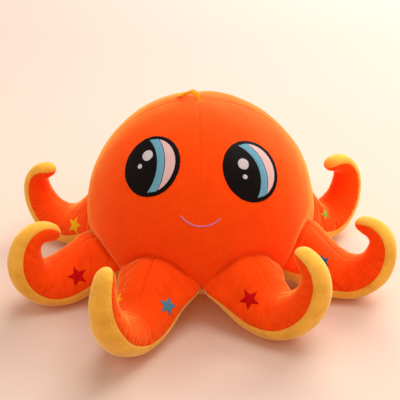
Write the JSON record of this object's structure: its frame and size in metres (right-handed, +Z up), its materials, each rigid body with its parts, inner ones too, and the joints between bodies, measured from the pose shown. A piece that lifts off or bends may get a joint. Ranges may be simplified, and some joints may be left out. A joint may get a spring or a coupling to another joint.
{
  "type": "plush octopus",
  "caption": "Round-headed stuffed octopus with curled two-colour arms, embroidered eyes, smile and stars, and a cord hanging loop on top.",
  "frame": {"origin": "middle of the flat patch under the base panel, on the surface that the toy stands on", "axes": "+X to the right of someone who looks at the face, +Y from the face to the back, +Z up"},
  "size_m": [0.4594, 0.4975, 0.2342],
  "materials": {
    "orange_pile": "short crystal velvet pile",
    "yellow_pile": "short crystal velvet pile",
    "fibre_filling": "loose polyester fibre",
    "black_thread": "satin-stitch embroidery",
    "blue_thread": "satin-stitch embroidery",
    "deep_blue_thread": "satin-stitch embroidery",
    "pink_thread": "satin-stitch embroidery",
    "white_thread": "satin-stitch embroidery",
    "red_thread": "satin-stitch embroidery",
    "yellow_thread": "satin-stitch embroidery",
    "green_thread": "satin-stitch embroidery",
    "mouth_thread": "satin-stitch embroidery",
    "loop_cord": "thin satin cord"
  },
  "bodies": {
    "body": {"head_front_right_panel": "orange_pile", "head_back_right_panel": "orange_pile", "head_back_left_panel": "orange_pile", "head_front_left_panel": "orange_pile", "base_panel": "yellow_pile", "head_filling": "fibre_filling", "left_eye_black": "black_thread", "left_eye_blue_band": "blue_thread", "left_eye_pink_crescent": "pink_thread", "left_eye_glint": "white_thread", "left_eye_small_glint": "white_thread", "right_eye_black": "black_thread", "right_eye_blue_band": "blue_thread", "right_eye_pink_crescent": "pink_thread", "right_eye_glint": "white_thread", "right_eye_small_glint": "white_thread", "mouth_line": "mouth_thread"},
    "arm_front_left": {"arm_front_left_fore_panel": "orange_pile", "arm_front_left_aft_panel": "orange_pile", "arm_front_left_sole_panel": "yellow_pile", "arm_front_left_filling": "fibre_filling", "star_front_left": "blue_thread"},
    "arm_side_left": {"arm_side_left_fore_panel": "orange_pile", "arm_side_left_aft_panel": "orange_pile", "arm_side_left_sole_panel": "yellow_pile", "arm_side_left_filling": "fibre_filling", "star_side_left": "red_thread"},
    "arm_rear_left": {"arm_rear_left_fore_panel": "orange_pile", "arm_rear_left_aft_panel": "orange_pile", "arm_rear_left_sole_panel": "yellow_pile", "arm_rear_left_filling": "fibre_filling", "star_rear_left": "yellow_thread"},
    "arm_back_left": {"arm_back_left_fore_panel": "orange_pile", "arm_back_left_aft_panel": "orange_pile", "arm_back_left_sole_panel": "yellow_pile", "arm_back_left_filling": "fibre_filling", "star_back_left": "blue_thread"},
    "arm_back_right": {"arm_back_right_fore_panel": "orange_pile", "arm_back_right_aft_panel": "orange_pile", "arm_back_right_sole_panel": "yellow_pile", "arm_back_right_filling": "fibre_filling", "star_back_right": "red_thread"},
    "arm_rear_right": {"arm_rear_right_fore_panel": "orange_pile", "arm_rear_right_aft_panel": "orange_pile", "arm_rear_right_sole_panel": "yellow_pile", "arm_rear_right_filling": "fibre_filling", "star_rear_right": "green_thread"},
    "arm_side_right": {"arm_side_right_fore_panel": "orange_pile", "arm_side_right_aft_panel": "orange_pile", "arm_side_right_sole_panel": "yellow_pile", "arm_side_right_filling": "fibre_filling", "star_side_right": "deep_blue_thread"},
    "arm_front_right": {"arm_front_right_fore_panel": "orange_pile", "arm_front_right_aft_panel": "orange_pile", "arm_front_right_sole_panel": "yellow_pile", "arm_front_right_filling": "fibre_filling", "star_front_right": "red_thread"},
    "loop": {"hanging_loop": "loop_cord"}
  },
  "joints": [
    {"name": "front_left_lift", "type": "hinge", "parent": "body", "child": "arm_front_left", "pos_m": [-0.0532, -0.1285, 0.0829], "axis": [-0.9239, 0.3827, 0], "range_deg": [0, 30], "stiffness_Nm_per_rad": 0.3},
    {"name": "side_left_lift", "type": "hinge", "parent": "body", "child": "arm_side_left", "pos_m": [-0.1285, -0.0532, 0.0721], "axis": [-0.3827, 0.9239, 0], "range_deg": [0, 30], "stiffness_Nm_per_rad": 0.3},
    {"name": "rear_left_lift", "type": "hinge", "parent": "body", "child": "arm_rear_left", "pos_m": [-0.1285, 0.0532, 0.0878], "axis": [0.3827, 0.9239, 0], "range_deg": [0, 30], "stiffness_Nm_per_rad": 0.3},
    {"name": "back_left_lift", "type": "hinge", "parent": "body", "child": "arm_back_left", "pos_m": [-0.0532, 0.1285, 0.0855], "axis": [0.9239, 0.3827, 0], "range_deg": [0, 30], "stiffness_Nm_per_rad": 0.3},
    {"name": "back_right_lift", "type": "hinge", "parent": "body", "child": "arm_back_right", "pos_m": [0.0532, 0.1285, 0.087], "axis": [0.9239, -0.3827, 0], "range_deg": [0, 30], "stiffness_Nm_per_rad": 0.3},
    {"name": "rear_right_lift", "type": "hinge", "parent": "body", "child": "arm_rear_right", "pos_m": [0.1285, 0.0532, 0.0907], "axis": [0.3827, -0.9239, 0], "range_deg": [0, 30], "stiffness_Nm_per_rad": 0.3},
    {"name": "side_right_lift", "type": "hinge", "parent": "body", "child": "arm_side_right", "pos_m": [0.1285, -0.0532, 0.0862], "axis": [-0.3827, -0.9239, 0], "range_deg": [0, 30], "stiffness_Nm_per_rad": 0.3},
    {"name": "front_right_lift", "type": "hinge", "parent": "body", "child": "arm_front_right", "pos_m": [0.0532, -0.1285, 0.0831], "axis": [-0.9239, -0.3827, 0], "range_deg": [0, 30], "stiffness_Nm_per_rad": 0.3},
    {"name": "loop_swing", "type": "hinge", "parent": "body", "child": "loop", "pos_m": [0, 0, 0.2255], "axis": [0.5736, 0.8191, 0], "range_deg": [0, 100]}
  ]
}
